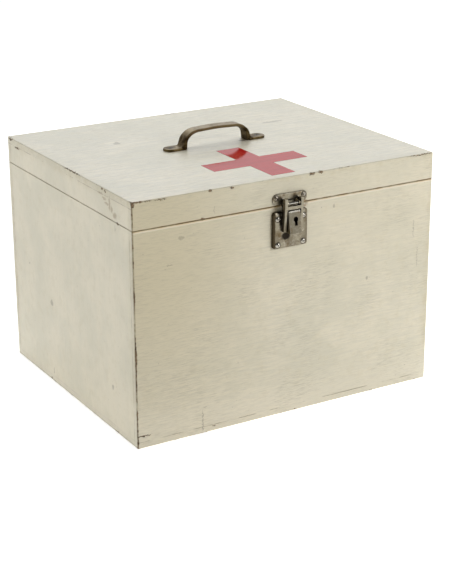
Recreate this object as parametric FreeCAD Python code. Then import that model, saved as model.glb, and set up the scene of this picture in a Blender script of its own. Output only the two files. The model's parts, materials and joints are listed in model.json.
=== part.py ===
import FreeCAD, Part
import math
import os

# First aid box: a nailed plywood case with a hinged lid, a strap handle and a keyed hasp lock.
# Millimetres, +Z up. The origin is the centre of the underside; the front faces -Y.
# A depth or height that ends in _OUT is measured outwards from the front face.

V = FreeCAD.Vector

# The case
WIDTH = 355.0
DEPTH = 298.0
HEIGHT = 256.0
BOARD = 7.0
BOTTOM_BOARD = 7.0
LID_BOARD = 7.0
LID_HEIGHT = 28.6
SEAM_GAP = 0.4
CORNER_ROUND = 1.3
SEAM_ROUND = 0.4
RIM_ROUND = 1.0

# Panel pins that hold the boards
NAIL_RADIUS = 0.8
NAIL_LENGTH = 20.0
NAIL_POINT = 2.0
NAIL_END_SPACE = 22.0
NAIL_PITCH = 60.0
LID_NAIL_SPACE = 6.0
NAIL_OFF_SCREW = 1.5
WOOD_FIT = 0.03

# How far a cutter runs past the faces that it cuts, and how close two numbers count as the same
PAST = 1.0
SAME = 0.01

# The painted cross on the lid
CROSS_SPAN = 111.5
CROSS_ARM = 27.5
CROSS_FILM = 0.15
CROSS_FROM_FRONT = 67.0
CROSS_SHIFT = -1.0

# The strap handle on the lid
HANDLE_SHIFT_X = -0.3
HANDLE_SHIFT_Y = 1.8
HANDLE_LENGTH = 123.0
HANDLE_RISE = 21.0
STRAP_WIDTH = 13.0
STRAP_THICKNESS = 3.1
KNEE_THICKNESS = 3.6
ROOT_THICKNESS = 5.2
FOOT_WIDTH = 16.0
FOOT_LENGTH = 19.4
FOOT_THICKNESS = 2.6
FOOT_EDGE = 0.8
LEG_LEAN = 3.1
KNEE_RISE = 12.4
SHOULDER_IN = 9.5
SHOULDER_DROP = 1.3
BEND_RADIUS = 3.0
KNEE_RADIUS = 12.4
SHOULDER_RADIUS = 18.0
CROWN_RADIUS = 160.0
STRAP_EDGE = 0.7

# Machine screws, washers and nuts that hold the handle
HANDLE_SCREW_INSET = 8.5
BOLT_RADIUS = 2.0
BOLT_HEAD_RADIUS = 3.7
BOLT_HEAD_DEPTH = 1.8
BOLT_SPARE = 1.2
WASHER_RADIUS = 4.5
WASHER_THICKNESS = 0.8
NUT_FLATS = 7.0
NUT_THICKNESS = 3.0
METAL_FIT = 0.05

# The hinges on the back
HINGE_INSET = 42.5
HINGE_LENGTH = 50.0
LEAF_WIDTH = 17.0
LEAF_THICKNESS = 1.5
KNUCKLE_RADIUS = 2.75
KNUCKLE_COUNT = 5
KNUCKLE_GAP = 0.2
KNUCKLE_OFF_WOOD = 0.1
HINGE_PIN_RADIUS = 1.3
LEAF_CORNER = 1.0
LEAF_SCREW_COUNT = 3
LEAF_SCREW_PITCH = 16.0
LEAF_SCREW_DOWN = 11.0
LEAF_SCREW_RADIUS = 1.4
LEAF_SCREW_HEAD = 2.8
LEAF_SCREW_HEAD_DEPTH = 1.2
LEAF_SCREW_LENGTH = 7.0

# Slots in the screw heads, and how far one screw's slot is turned from the next one's, in degrees
SLOT_WIDTH = 0.7
SLOT_DEPTH = 0.5
SLOT_TURN = 67.0

# The hasp's plate on the lid
LATCH_SHIFT = -1.5
HASP_PLATE_WIDTH = 40.5
HASP_PLATE_HEIGHT = 11.0
HASP_PLATE_THICKNESS = 1.5
HASP_PLATE_ROUND = 5.0
HASP_PLATE_UP = 1.1
PLATE_EDGE = 0.5
NOTCH_HEIGHT = 3.6
LUG_THICKNESS = 1.9
LUG_RADIUS = 2.2
LUG_GAP = 0.3
HASP_SCREW_INSET = 4.2
HASP_SCREW_UP = 1.7
HASP_SCREW_RADIUS = 1.2
HASP_SCREW_HEAD = 2.5
HASP_SCREW_HEAD_HEIGHT = 1.1
HASP_SCREW_LENGTH = 7.0

# The hasp, which swings on a pin between the lugs
HASP_PIN_RADIUS = 1.25
HASP_PIN_OUT = 7.2
HASP_PIN_UP = 1.8
PIN_RIVET = 0.3
HEAD_GAP = 0.3
ARM_WIDTH = 3.0
ARM_LENGTH = 29.3
ARM_FRONT_OUT = 10.2
ARM_END_OUT = 8.2
ARM_GAP = 0.4
ARM_EDGE = 0.5
ARM_END_ROUND = 1.0
BAR_DOWN = 2.7
BAR_HEIGHT = 3.1
BAR_DEPTH = 4.0
BAR_STEP = 0.2

# The lock on the base: a pressed plate with a wedge-shaped case
LOCK_PLATE_SHIFT = -0.5
LOCK_PLATE_WIDTH = 40.5
LOCK_PLATE_HEIGHT = 38.0
LOCK_PLATE_DEPTH = 4.0
LOCK_PLATE_WALL = 1.3
LOCK_PLATE_ROUND = 3.0
LOCK_PLATE_EDGE = 1.5
LOCK_PLATE_DOWN = 5.5
LOCK_SCREW_INSET = 5.25
LOCK_SCREW_FROM_TOP = 7.0
LOCK_SCREW_FROM_BOTTOM = 4.0
LOCK_SCREW_RADIUS = 1.4
LOCK_SCREW_HEAD = 2.8
LOCK_SCREW_HEAD_HEIGHT = 1.5
LOCK_SCREW_LENGTH = 9.5
CASE_WIDTH = 14.0
CASE_SIDE_GAP = 1.0
CASE_HEIGHT = 23.5
CASE_OVER_PLATE = 1.5
CASE_TOP_OUT = 10.0
CASE_BOTTOM_OUT = 14.2
CASE_WALL = 1.2
CASE_EDGE = 0.8
KEYHOLE_SHIFT = 0.8
KEYHOLE_DOWN = 8.8
KEYHOLE_RADIUS = 2.3
KEYHOLE_SLOT_WIDTH = 2.5
KEYHOLE_LENGTH = 5.9
KEY_POST_RADIUS = 0.8
KEY_POST_LENGTH = 5.2

# The bolt and its spring inside the case
BOLT_BAR_THICKNESS = 1.9
BOLT_BAR_HEIGHT = 3.8
BOLT_BAR_DOWN = 3.6
BOLT_BAR_OUT = 5.45
BOLT_BAR_LENGTH = 11.4
BOLT_SET_BACK = 0.2
BOLT_CLEARANCE = 0.15
BOLT_REACH = 3.0
TALON_WIDTH = 3.0
TALON_DEPTH = 1.2
TALON_FROM_TIP = 5.4
SPRING_THICKNESS = 0.4
SPRING_BOW = 1.2
SPRING_GAP = 0.15

# Places that follow from the sizes above
HALF_WIDTH = WIDTH / 2
HALF_DEPTH = DEPTH / 2
FRONT = -HALF_DEPTH
LID_BOTTOM = HEIGHT - LID_HEIGHT
BASE_TOP = LID_BOTTOM - SEAM_GAP
RAIL_TOP = HEIGHT - LID_BOARD
HINGE_X = HALF_WIDTH - HINGE_INSET - HINGE_LENGTH / 2
HINGE_Y = HALF_DEPTH + KNUCKLE_RADIUS + KNUCKLE_OFF_WOOD
HINGE_Z = LID_BOTTOM - SEAM_GAP / 2
HASP_PLATE_Z = LID_BOTTOM + HASP_PLATE_UP
HASP_PIN_Z = HASP_PLATE_Z + HASP_PIN_UP
HASP_INNER = CASE_WIDTH / 2 + CASE_SIDE_GAP
HASP_OUTER = HASP_INNER + ARM_WIDTH
HASP_HEAD_RADIUS = HASP_PIN_OUT - HASP_PLATE_THICKNESS - HEAD_GAP
ARM_BACK_OUT = LOCK_PLATE_DEPTH + ARM_GAP
LOCK_PLATE_TOP = BASE_TOP - LOCK_PLATE_DOWN
CASE_TOP = LOCK_PLATE_TOP + CASE_OVER_PLATE
KEYHOLE_Z = CASE_TOP - KEYHOLE_DOWN
BOLT_BAR_TOP = CASE_TOP - BOLT_BAR_DOWN
BOLT_BAR_BOTTOM = BOLT_BAR_TOP - BOLT_BAR_HEIGHT


def block(low, high):
    """A box from its lowest corner to its highest one."""
    size = [b - a for a, b in zip(low, high)]
    return Part.makeBox(size[0], size[1], size[2], V(*low))


def soften(shape, radius, wanted):
    """Round the edges whose middle point passes the test."""
    edges = [edge for edge in shape.Edges if wanted(edge.CenterOfMass)]
    return shape.makeFillet(radius, edges)


def near(a, b):
    return abs(a - b) < SAME


def aimed(shape, start, direction, turn):
    """Turn a piece that points along -Z about its own length, and then so that it points along direction."""
    placed = shape.copy()
    aim = FreeCAD.Rotation(V(0, 0, -1), V(*direction))
    placed.Placement = FreeCAD.Placement(V(*start), aim.multiply(FreeCAD.Rotation(V(0, 0, 1), turn)))
    return placed


def at_places(shape, places, direction, turn=0.0):
    """A copy at each place, each turned further about its own length than the one before."""
    return [aimed(shape, place, direction, i * turn) for i, place in enumerate(places)]


def cut_all(shape, cutters):
    return shape.cut(cutters).removeSplitter()


def steps(low, high, pitch):
    """Evenly spaced positions from low to high, no further apart than pitch."""
    count = max(1, math.ceil((high - low) / pitch))
    return [low + (high - low) * i / count for i in range(count + 1)]


def save(name, shape):
    shape.exportStep("parts/" + name + ".step")


def save_group(name, shapes):
    save(name, Part.makeCompound(shapes))


# Fasteners, each pointing down from the surface it lies on

def nail(fit=0.0):
    """A lost-head panel pin."""
    radius = NAIL_RADIUS + fit
    shank = Part.makeCylinder(radius, NAIL_LENGTH - NAIL_POINT, V(0, 0, 0), V(0, 0, -1))
    point = Part.makeCone(radius, radius / 4, NAIL_POINT, V(0, 0, NAIL_POINT - NAIL_LENGTH), V(0, 0, -1))
    return shank.fuse(point).removeSplitter()


def slotted(screw, head_radius, top):
    """Cut the driver's slot across a head whose top is at the given height."""
    low = (-head_radius * 2, -SLOT_WIDTH / 2, top - SLOT_DEPTH)
    high = (head_radius * 2, SLOT_WIDTH / 2, top + SLOT_DEPTH)
    return screw.cut(block(low, high))


def flat_screw(radius, head_radius, head_depth, length, fit=0.0):
    """A countersunk screw with its flat head at height 0."""
    shank = Part.makeCylinder(radius + fit, length + fit, V(0, 0, 0), V(0, 0, -1))
    head = Part.makeCone(head_radius + fit, radius + fit, head_depth, V(0, 0, 0), V(0, 0, -1))
    return shank.fuse(head).removeSplitter()


def dome_screw(radius, head_radius, head_height, length):
    """A round-headed screw whose head sits on height 0."""
    ball_radius = (head_radius ** 2 + head_height ** 2) / (2 * head_height)
    ball = Part.makeSphere(ball_radius, V(0, 0, head_height - ball_radius))
    head = ball.common(Part.makeCylinder(head_radius * 2, head_height * 2))
    shank = Part.makeCylinder(radius, length, V(0, 0, 0), V(0, 0, -1))
    return slotted(head.fuse(shank), head_radius, head_height)


def shank_hole(radius, length, fit):
    return Part.makeCylinder(radius + fit, length + fit, V(0, 0, 0), V(0, 0, -1))


# Where the fasteners go

def corner_nail_places(low, high, space, side):
    """Nails through the front (-1) or back (+1) board into the ends of the side boards."""
    heights = steps(low + space, high - space, NAIL_PITCH)
    across = HALF_WIDTH - BOARD / 2
    return [(x, side * HALF_DEPTH, z) for x in (-across, across) for z in heights]


def beside(x, screws, screw_radius):
    """Move a nail sideways where a screw of a fitting is in its way."""
    space = NAIL_RADIUS + NAIL_OFF_SCREW + screw_radius
    for screw in screws:
        if abs(x - screw[0]) < space:
            return screw[0] + math.copysign(space, x - screw[0])
    return x


def rim_nail_places(z, front_screws=(), back_screws=()):
    """Nails round the edge of the bottom or the lid's top, into the boards that stand under it."""
    across = HALF_WIDTH - BOARD / 2
    along = HALF_DEPTH - BOARD / 2
    end_x = HALF_WIDTH - NAIL_END_SPACE
    end_y = HALF_DEPTH - NAIL_END_SPACE
    spread = steps(-end_x, end_x, NAIL_PITCH)
    places = [(beside(x, front_screws, HASP_SCREW_RADIUS), -along, z) for x in spread]
    places += [(beside(x, back_screws, LEAF_SCREW_RADIUS), along, z) for x in spread]
    places += [(x, y, z) for x in (-across, across) for y in steps(-end_y, end_y, NAIL_PITCH)]
    return places


def base_corner_nails(fit=0.0):
    shapes = []
    for side in (-1, 1):
        places = corner_nail_places(BOTTOM_BOARD, BASE_TOP, NAIL_END_SPACE, side)
        shapes += at_places(nail(fit), places, (0, -side, 0))
    return shapes


def lid_corner_nails(fit=0.0):
    shapes = []
    for side in (-1, 1):
        places = corner_nail_places(LID_BOTTOM, RAIL_TOP, LID_NAIL_SPACE, side)
        shapes += at_places(nail(fit), places, (0, -side, 0))
    return shapes


def bottom_nails(fit=0.0):
    return at_places(nail(fit), rim_nail_places(0), (0, 0, 1))


def lid_top_nails(fit=0.0):
    hinge_places = hinge_screw_places(-1, 1) + hinge_screw_places(1, 1)
    return at_places(nail(fit), rim_nail_places(HEIGHT, hasp_screw_places(), hinge_places), (0, 0, -1))


def hinge_screw_places(side, up):
    """The screws of one leaf: side picks the hinge, up is -1 for the base and +1 for the lid."""
    middle = (LEAF_SCREW_COUNT - 1) / 2
    z = HINGE_Z + up * LEAF_SCREW_DOWN
    y = HALF_DEPTH + LEAF_THICKNESS
    return [(side * HINGE_X + (i - middle) * LEAF_SCREW_PITCH, y, z) for i in range(LEAF_SCREW_COUNT)]


def hinge_screws(up, fit=0.0):
    screw = flat_screw(LEAF_SCREW_RADIUS, LEAF_SCREW_HEAD, LEAF_SCREW_HEAD_DEPTH, LEAF_SCREW_LENGTH, fit)
    if fit == 0.0:
        screw = slotted(screw, LEAF_SCREW_HEAD, 0)
    places = hinge_screw_places(-1, up) + hinge_screw_places(1, up)
    return at_places(screw, places, (0, -1, 0), SLOT_TURN)


def lock_screw_places():
    across = LOCK_PLATE_WIDTH / 2 - LOCK_SCREW_INSET
    low = LOCK_PLATE_TOP - LOCK_PLATE_HEIGHT + LOCK_SCREW_FROM_BOTTOM
    heights = (LOCK_PLATE_TOP - LOCK_SCREW_FROM_TOP, low)
    middle = LATCH_SHIFT + LOCK_PLATE_SHIFT
    return [(middle + x, FRONT - LOCK_PLATE_DEPTH, z) for x in (-across, across) for z in heights]


def hasp_screw_places():
    across = HASP_PLATE_WIDTH / 2 - HASP_SCREW_INSET
    z = HASP_PLATE_Z + HASP_PLATE_HEIGHT / 2 + HASP_SCREW_UP
    return [(LATCH_SHIFT + x, FRONT - HASP_PLATE_THICKNESS, z) for x in (-across, across)]


def handle_screw_places(z):
    across = HANDLE_LENGTH / 2 - HANDLE_SCREW_INSET
    return [(HANDLE_SHIFT_X + x, HANDLE_SHIFT_Y, z) for x in (-across, across)]


# Boards of the base

def outer_wall(side, low, high):
    """A front (-1) or back (+1) board across the whole width, rounded at its outer corners."""
    y = side * HALF_DEPTH
    inner = y - side * BOARD
    board = block((-HALF_WIDTH, min(y, inner), low), (HALF_WIDTH, max(y, inner), high))
    return soften(board, CORNER_ROUND, lambda c: near(c.y, y) and near(abs(c.x), HALF_WIDTH))


def side_wall(side, low, high):
    """A left (-1) or right (+1) board between the front and the back."""
    x = side * HALF_WIDTH
    inner = x - side * BOARD
    reach = HALF_DEPTH - BOARD
    return block((min(x, inner), -reach, low), (max(x, inner), reach, high))


def eased(board, z, outer):
    """Take the sharpness off the outer edge at the seam."""
    return soften(board, SEAM_ROUND, lambda c: near(c.z, z) and outer(c))


def on_outer_y(side):
    return lambda c: side * c.y > HALF_DEPTH - CORNER_ROUND


def on_outer_x(side):
    return lambda c: near(c.x, side * HALF_WIDTH)


def base_wall(side):
    wall = eased(outer_wall(side, BOTTOM_BOARD, BASE_TOP), BASE_TOP, on_outer_y(side))
    holes = base_corner_nails(WOOD_FIT) + bottom_nails(WOOD_FIT)
    if side > 0:
        holes += hinge_screws(-1, WOOD_FIT)
    else:
        hole = shank_hole(LOCK_SCREW_RADIUS, LOCK_SCREW_LENGTH, WOOD_FIT)
        holes += at_places(hole, lock_screw_places(), (0, 1, 0))
    return cut_all(wall, holes)


def base_side(side):
    wall = eased(side_wall(side, BOTTOM_BOARD, BASE_TOP), BASE_TOP, on_outer_x(side))
    return cut_all(wall, base_corner_nails(WOOD_FIT) + bottom_nails(WOOD_FIT))


def flat_board(low, high, rim):
    """A board over the whole plan with round corners and a round rim on one face."""
    board = block((-HALF_WIDTH, -HALF_DEPTH, low), (HALF_WIDTH, HALF_DEPTH, high))
    board = soften(board, CORNER_ROUND, lambda c: near(c.z, (low + high) / 2))
    return soften(board, RIM_ROUND, lambda c: near(c.z, rim))


def bottom_panel():
    return cut_all(flat_board(0, BOTTOM_BOARD, 0), bottom_nails(WOOD_FIT))


# Boards of the lid

def lid_wall(side):
    rail = eased(outer_wall(side, LID_BOTTOM, RAIL_TOP), LID_BOTTOM, on_outer_y(side))
    holes = lid_corner_nails(WOOD_FIT) + lid_top_nails(WOOD_FIT)
    if side > 0:
        holes += hinge_screws(1, WOOD_FIT)
    else:
        hole = shank_hole(HASP_SCREW_RADIUS, HASP_SCREW_LENGTH, WOOD_FIT)
        holes += at_places(hole, hasp_screw_places(), (0, 1, 0))
    return cut_all(rail, holes)


def lid_side(side):
    rail = eased(side_wall(side, LID_BOTTOM, RAIL_TOP), LID_BOTTOM, on_outer_x(side))
    return cut_all(rail, lid_corner_nails(WOOD_FIT) + lid_top_nails(WOOD_FIT))


def lid_top():
    board = flat_board(RAIL_TOP, HEIGHT, HEIGHT)
    hole = shank_hole(BOLT_RADIUS, LID_BOARD * 2, METAL_FIT)
    return cut_all(board, lid_top_nails(WOOD_FIT) + at_places(hole, handle_screw_places(HEIGHT), (0, 0, -1)))


def red_cross():
    """The cross is a film of paint on the lid."""
    x = CROSS_SHIFT
    y = FRONT + CROSS_FROM_FRONT
    half = CROSS_SPAN / 2
    arm = CROSS_ARM / 2
    top = HEIGHT + CROSS_FILM
    across = block((x - half, y - arm, HEIGHT), (x + half, y + arm, top))
    along = block((x - arm, y - half, HEIGHT), (x + arm, y + half, top))
    return across.fuse(along).removeSplitter()


# The handle

def corner_arc(before, corner, after, radius):
    """The start, middle and end of the arc that rounds a corner of a path."""
    back = (before - corner).normalize()
    on = (after - corner).normalize()
    half_angle = back.getAngle(on) / 2
    reach = radius / math.tan(half_angle)
    inward = (back + on).normalize()
    centre = corner + inward * (radius / math.sin(half_angle))
    return corner + back * reach, centre - inward * radius, corner + on * reach


def rounded_path(points, radii):
    """Edges along straight runs joined by tangent arcs."""
    edges = []
    last = points[0]
    for i, radius in enumerate(radii):
        start, middle, end = corner_arc(points[i], points[i + 1], points[i + 2], radius)
        edges.append(Part.LineSegment(last, start).toShape())
        edges.append(Part.Arc(start, middle, end).toShape())
        last = end
    edges.append(Part.LineSegment(last, points[-1]).toShape())
    return edges


def mitre(before, corner, after, thickness):
    """The corner of the strap's underside that lies below a corner of its top."""
    first = (corner - before).normalize()
    second = (after - corner).normalize()
    down = V(first.z, 0, -first.x) + V(second.z, 0, -second.x)
    return corner + down * (thickness / (1 + first.dot(second)))


def strap_corners():
    """The corners of the strap's top and underside, from the left foot to the crown."""
    root = HANDLE_LENGTH / 2 - FOOT_LENGTH
    knee = root - LEG_LEAN
    y = -STRAP_WIDTH / 2
    top = [
        V(-root - FOOT_LENGTH / 2, y, FOOT_THICKNESS),
        V(-root, y, FOOT_THICKNESS),
        V(-knee, y, KNEE_RISE),
        V(SHOULDER_IN - knee, y, HANDLE_RISE - SHOULDER_DROP),
        V(0, y, HANDLE_RISE),
    ]
    under = [
        V(ROOT_THICKNESS - root, y, 0),
        mitre(top[1], top[2], top[3], KNEE_THICKNESS),
        mitre(top[2], top[3], top[4], STRAP_THICKNESS),
        V(0, y, HANDLE_RISE - STRAP_THICKNESS),
    ]
    return top, under


def both_halves(points):
    return points + [V(-p.x, p.y, p.z) for p in reversed(points[:-1])]


def strap_face():
    """The strap seen from the front: a bow that is thickest where its legs meet the feet."""
    top, under = [both_halves(points) for points in strap_corners()]
    top_radii = [BEND_RADIUS, KNEE_RADIUS, SHOULDER_RADIUS, CROWN_RADIUS]
    under_radii = [KNEE_RADIUS - KNEE_THICKNESS, SHOULDER_RADIUS, CROWN_RADIUS - STRAP_THICKNESS]
    edges = rounded_path(top, top_radii + top_radii[-2::-1])
    edges += rounded_path(under, under_radii + under_radii[-2::-1])
    for end in (0, -1):
        outer = V(top[end].x, top[end].y, 0)
        edges.append(Part.LineSegment(top[end], outer).toShape())
        edges.append(Part.LineSegment(outer, under[end]).toShape())
    return Part.Face(Part.Wire(Part.__sortEdges__(edges)))


def foot(side):
    """A flat foot with a round end."""
    half = FOOT_WIDTH / 2
    tip = HANDLE_LENGTH / 2 - half
    root = HANDLE_LENGTH / 2 - FOOT_LENGTH - ROOT_THICKNESS / 2
    ends = sorted((side * tip, side * root))
    pad = block((ends[0], -half, 0), (ends[1], half, FOOT_THICKNESS))
    end = Part.makeCylinder(half, FOOT_THICKNESS, V(side * tip, 0, 0))
    pad = pad.fuse(end).removeSplitter()
    return soften(pad, FOOT_EDGE, lambda c: near(c.z, FOOT_THICKNESS))


def handle():
    strap = strap_face().extrude(V(0, STRAP_WIDTH, 0))
    above = FOOT_THICKNESS + BEND_RADIUS
    strap = soften(strap, STRAP_EDGE, lambda c: near(abs(c.y), STRAP_WIDTH / 2) and c.z > above)
    whole = strap.fuse([foot(-1), foot(1)]).removeSplitter()
    whole.translate(V(HANDLE_SHIFT_X, HANDLE_SHIFT_Y, HEIGHT))
    screw = flat_screw(BOLT_RADIUS, BOLT_HEAD_RADIUS, BOLT_HEAD_DEPTH, LID_BOARD, METAL_FIT)
    return cut_all(whole, at_places(screw, handle_screw_places(HEIGHT + FOOT_THICKNESS), (0, 0, -1)))


def handle_screws():
    length = FOOT_THICKNESS + LID_BOARD + WASHER_THICKNESS + NUT_THICKNESS + BOLT_SPARE
    screw = slotted(flat_screw(BOLT_RADIUS, BOLT_HEAD_RADIUS, BOLT_HEAD_DEPTH, length), BOLT_HEAD_RADIUS, 0)
    return at_places(screw, handle_screw_places(HEIGHT + FOOT_THICKNESS), (0, 0, -1), SLOT_TURN)


def handle_washers():
    ring = Part.makeCylinder(WASHER_RADIUS, WASHER_THICKNESS, V(0, 0, 0), V(0, 0, -1))
    ring = ring.cut(shank_hole(BOLT_RADIUS, WASHER_THICKNESS, METAL_FIT))
    return at_places(ring, handle_screw_places(RAIL_TOP), (0, 0, -1))


def handle_nuts():
    radius = NUT_FLATS / 2 / math.cos(math.pi / 6)
    corners = [V(radius * math.cos(i * math.pi / 3), radius * math.sin(i * math.pi / 3), 0) for i in range(7)]
    nut = Part.Face(Part.makePolygon(corners)).extrude(V(0, 0, -NUT_THICKNESS))
    nut = nut.cut(shank_hole(BOLT_RADIUS, NUT_THICKNESS, METAL_FIT))
    return at_places(nut, handle_screw_places(RAIL_TOP - WASHER_THICKNESS), (0, 0, -1))


# The hinges, built round an axis along X at the origin and then moved to the back

def knuckles(parity):
    """The knuckles of one leaf, every second one along the hinge."""
    pitch = HINGE_LENGTH / KNUCKLE_COUNT
    solids = []
    for i in range(parity, KNUCKLE_COUNT, 2):
        start = -HINGE_LENGTH / 2 + i * pitch + KNUCKLE_GAP / 2
        length = pitch - KNUCKLE_GAP
        up = 1 if parity else -1
        back = -KNUCKLE_RADIUS - KNUCKLE_OFF_WOOD
        barrel = Part.makeCylinder(KNUCKLE_RADIUS, length, V(start, 0, 0), V(1, 0, 0))
        reach = up * (KNUCKLE_RADIUS + KNUCKLE_GAP * 2)
        web = block((start, back, min(0, reach)), (start + length, back + LEAF_THICKNESS, max(0, reach)))
        solids.append(barrel.fuse(web))
    return solids


def leaf(side, up):
    """One leaf: the base's with up -1, the lid's with up +1."""
    near_z = KNUCKLE_RADIUS + KNUCKLE_GAP * 2
    back = -KNUCKLE_RADIUS - KNUCKLE_OFF_WOOD
    low = min(up * near_z, up * LEAF_WIDTH)
    high = max(up * near_z, up * LEAF_WIDTH)
    half = (HINGE_LENGTH - KNUCKLE_GAP) / 2
    plate = block((-half, back, low), (half, back + LEAF_THICKNESS, high))
    plate = soften(plate, LEAF_CORNER, lambda c: near(abs(c.x), half) and near(c.z, up * LEAF_WIDTH))
    plate = plate.fuse(knuckles(1 if up > 0 else 0)).removeSplitter()
    start = V(-HINGE_LENGTH, 0, 0)
    bore = Part.makeCylinder(HINGE_PIN_RADIUS + METAL_FIT, HINGE_LENGTH * 2, start, V(1, 0, 0))
    plate = plate.cut(bore)
    plate.translate(V(side * HINGE_X, HINGE_Y, HINGE_Z))
    return cut_all(plate, hinge_screws(up, METAL_FIT))


def hinge_pin(side):
    start = V(side * HINGE_X - HINGE_LENGTH / 2, HINGE_Y, HINGE_Z)
    return Part.makeCylinder(HINGE_PIN_RADIUS, HINGE_LENGTH, start, V(1, 0, 0))


# The hasp and its plate; distances across are measured from the latch's centre line

def latch_block(x, out, z):
    """A box from pairs of distances across, outwards and up."""
    return block((LATCH_SHIFT + x[0], FRONT - out[1], z[0]), (LATCH_SHIFT + x[1], FRONT - out[0], z[1]))


def latch_rod(radius, start, end, out, z):
    """A round bar across the front from start to end."""
    return Part.makeCylinder(radius, end - start, V(LATCH_SHIFT + start, FRONT - out, z), V(1, 0, 0))


def plate_shape(middle, width, low, height, thickness, radius):
    """A plate flat on the front with rounded corners."""
    half = width / 2
    plate = latch_block((middle - half, middle + half), (0, thickness), (low, low + height))
    return soften(plate, radius, lambda c: near(c.y, FRONT - thickness / 2))


def lug(side):
    """A lug that carries one end of the hasp's pin, next to the hasp's arm."""
    outer = HASP_INNER - LUG_GAP
    inner = outer - LUG_THICKNESS
    x = (min(side * inner, side * outer), max(side * inner, side * outer))
    web = latch_block(x, (0, HASP_PIN_OUT), (HASP_PIN_Z - LUG_RADIUS, HASP_PIN_Z + LUG_RADIUS))
    return web.fuse(latch_rod(LUG_RADIUS, x[0], x[1], HASP_PIN_OUT, HASP_PIN_Z))


def hasp_plate():
    depth = HASP_PLATE_THICKNESS
    plate = plate_shape(0, HASP_PLATE_WIDTH, HASP_PLATE_Z, HASP_PLATE_HEIGHT, depth, HASP_PLATE_ROUND)
    plate = soften(plate, PLATE_EDGE, lambda c: near(c.y, FRONT - depth))
    half = HASP_INNER - LUG_GAP - LUG_THICKNESS
    notch_z = (HASP_PLATE_Z - PAST, HASP_PLATE_Z + NOTCH_HEIGHT)
    notch = latch_block((-half, half), (-PAST, LUG_RADIUS), notch_z)
    plate = plate.cut(notch).fuse([lug(-1), lug(1)]).removeSplitter()
    bore = latch_rod(HASP_PIN_RADIUS + METAL_FIT, -HASP_OUTER, HASP_OUTER, HASP_PIN_OUT, HASP_PIN_Z)
    hole = shank_hole(HASP_SCREW_RADIUS, HASP_SCREW_LENGTH, METAL_FIT)
    return cut_all(plate, [bore] + at_places(hole, hasp_screw_places(), (0, 1, 0)))


def hasp_pin():
    """The pin runs through both lugs and both arms, and is flattened a little beyond them."""
    end = HASP_OUTER + PIN_RIVET
    return latch_rod(HASP_PIN_RADIUS, -end, end, HASP_PIN_OUT, HASP_PIN_Z)


def arm(side):
    """A hasp arm: a round head about the pin and a leg that thins towards its end."""
    x = min(side * HASP_INNER, side * HASP_OUTER)
    low = HASP_PIN_Z - ARM_LENGTH
    outline = [
        (ARM_BACK_OUT, HASP_PIN_Z),
        (ARM_FRONT_OUT, HASP_PIN_Z),
        (ARM_END_OUT, low),
        (ARM_BACK_OUT, low),
        (ARM_BACK_OUT, HASP_PIN_Z),
    ]
    corners = [V(LATCH_SHIFT + x, FRONT - out, z) for out, z in outline]
    leg = Part.Face(Part.makePolygon(corners)).extrude(V(ARM_WIDTH, 0, 0))
    leg = soften(leg, ARM_END_ROUND, lambda c: near(c.z, low) and near(c.y, FRONT - ARM_END_OUT))
    head = latch_rod(HASP_HEAD_RADIUS, x, x + ARM_WIDTH, HASP_PIN_OUT, HASP_PIN_Z)
    reach = HASP_PIN_Z + HASP_HEAD_RADIUS * 2
    front = latch_block((x - PAST, x + ARM_WIDTH + PAST), (ARM_FRONT_OUT, reach), (low, reach))
    return leg.fuse(head).cut(front).removeSplitter()


def hasp():
    bar_top = HASP_PIN_Z - BAR_DOWN
    bar_front = ARM_FRONT_OUT - BAR_STEP
    bar_out = (bar_front - BAR_DEPTH, bar_front)
    bar = latch_block((-HASP_INNER, HASP_INNER), bar_out, (bar_top - BAR_HEIGHT, bar_top))
    whole = bar.fuse([arm(-1), arm(1)]).removeSplitter()
    outer = HASP_OUTER
    ahead = FRONT - HASP_PIN_OUT
    whole = soften(whole, ARM_EDGE, lambda c: near(abs(c.x - LATCH_SHIFT), outer) and c.y < ahead)
    bore = latch_rod(HASP_PIN_RADIUS + METAL_FIT, -outer - PAST, outer + PAST, HASP_PIN_OUT, HASP_PIN_Z)
    fit = BOLT_CLEARANCE * 2
    depth = BOLT_SET_BACK - BOLT_REACH - fit
    recess = latch_block(
        (-CASE_WIDTH / 2 + depth, -CASE_WIDTH / 2),
        (BOLT_BAR_OUT - fit, BOLT_BAR_OUT + BOLT_BAR_THICKNESS + fit),
        (BOLT_BAR_BOTTOM - fit, BOLT_BAR_TOP + fit),
    )
    return cut_all(whole, [bore, recess])


# The lock on the base

def lock_plate():
    """A pressed plate whose edges turn back to the wood, hollow behind."""
    low = LOCK_PLATE_TOP - LOCK_PLATE_HEIGHT
    wall = LOCK_PLATE_WALL
    middle = LOCK_PLATE_SHIFT
    pan = plate_shape(middle, LOCK_PLATE_WIDTH, low, LOCK_PLATE_HEIGHT, LOCK_PLATE_DEPTH, LOCK_PLATE_ROUND)
    pan = soften(pan, LOCK_PLATE_EDGE, lambda c: near(c.y, FRONT - LOCK_PLATE_DEPTH))
    inside = plate_shape(
        middle,
        LOCK_PLATE_WIDTH - 2 * wall,
        low + wall,
        LOCK_PLATE_HEIGHT - 2 * wall,
        LOCK_PLATE_DEPTH - wall,
        LOCK_PLATE_ROUND - wall / 2,
    )
    hole = shank_hole(LOCK_SCREW_RADIUS, LOCK_SCREW_LENGTH, METAL_FIT)
    return cut_all(pan, [inside] + at_places(hole, lock_screw_places(), (0, 1, 0)))


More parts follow.
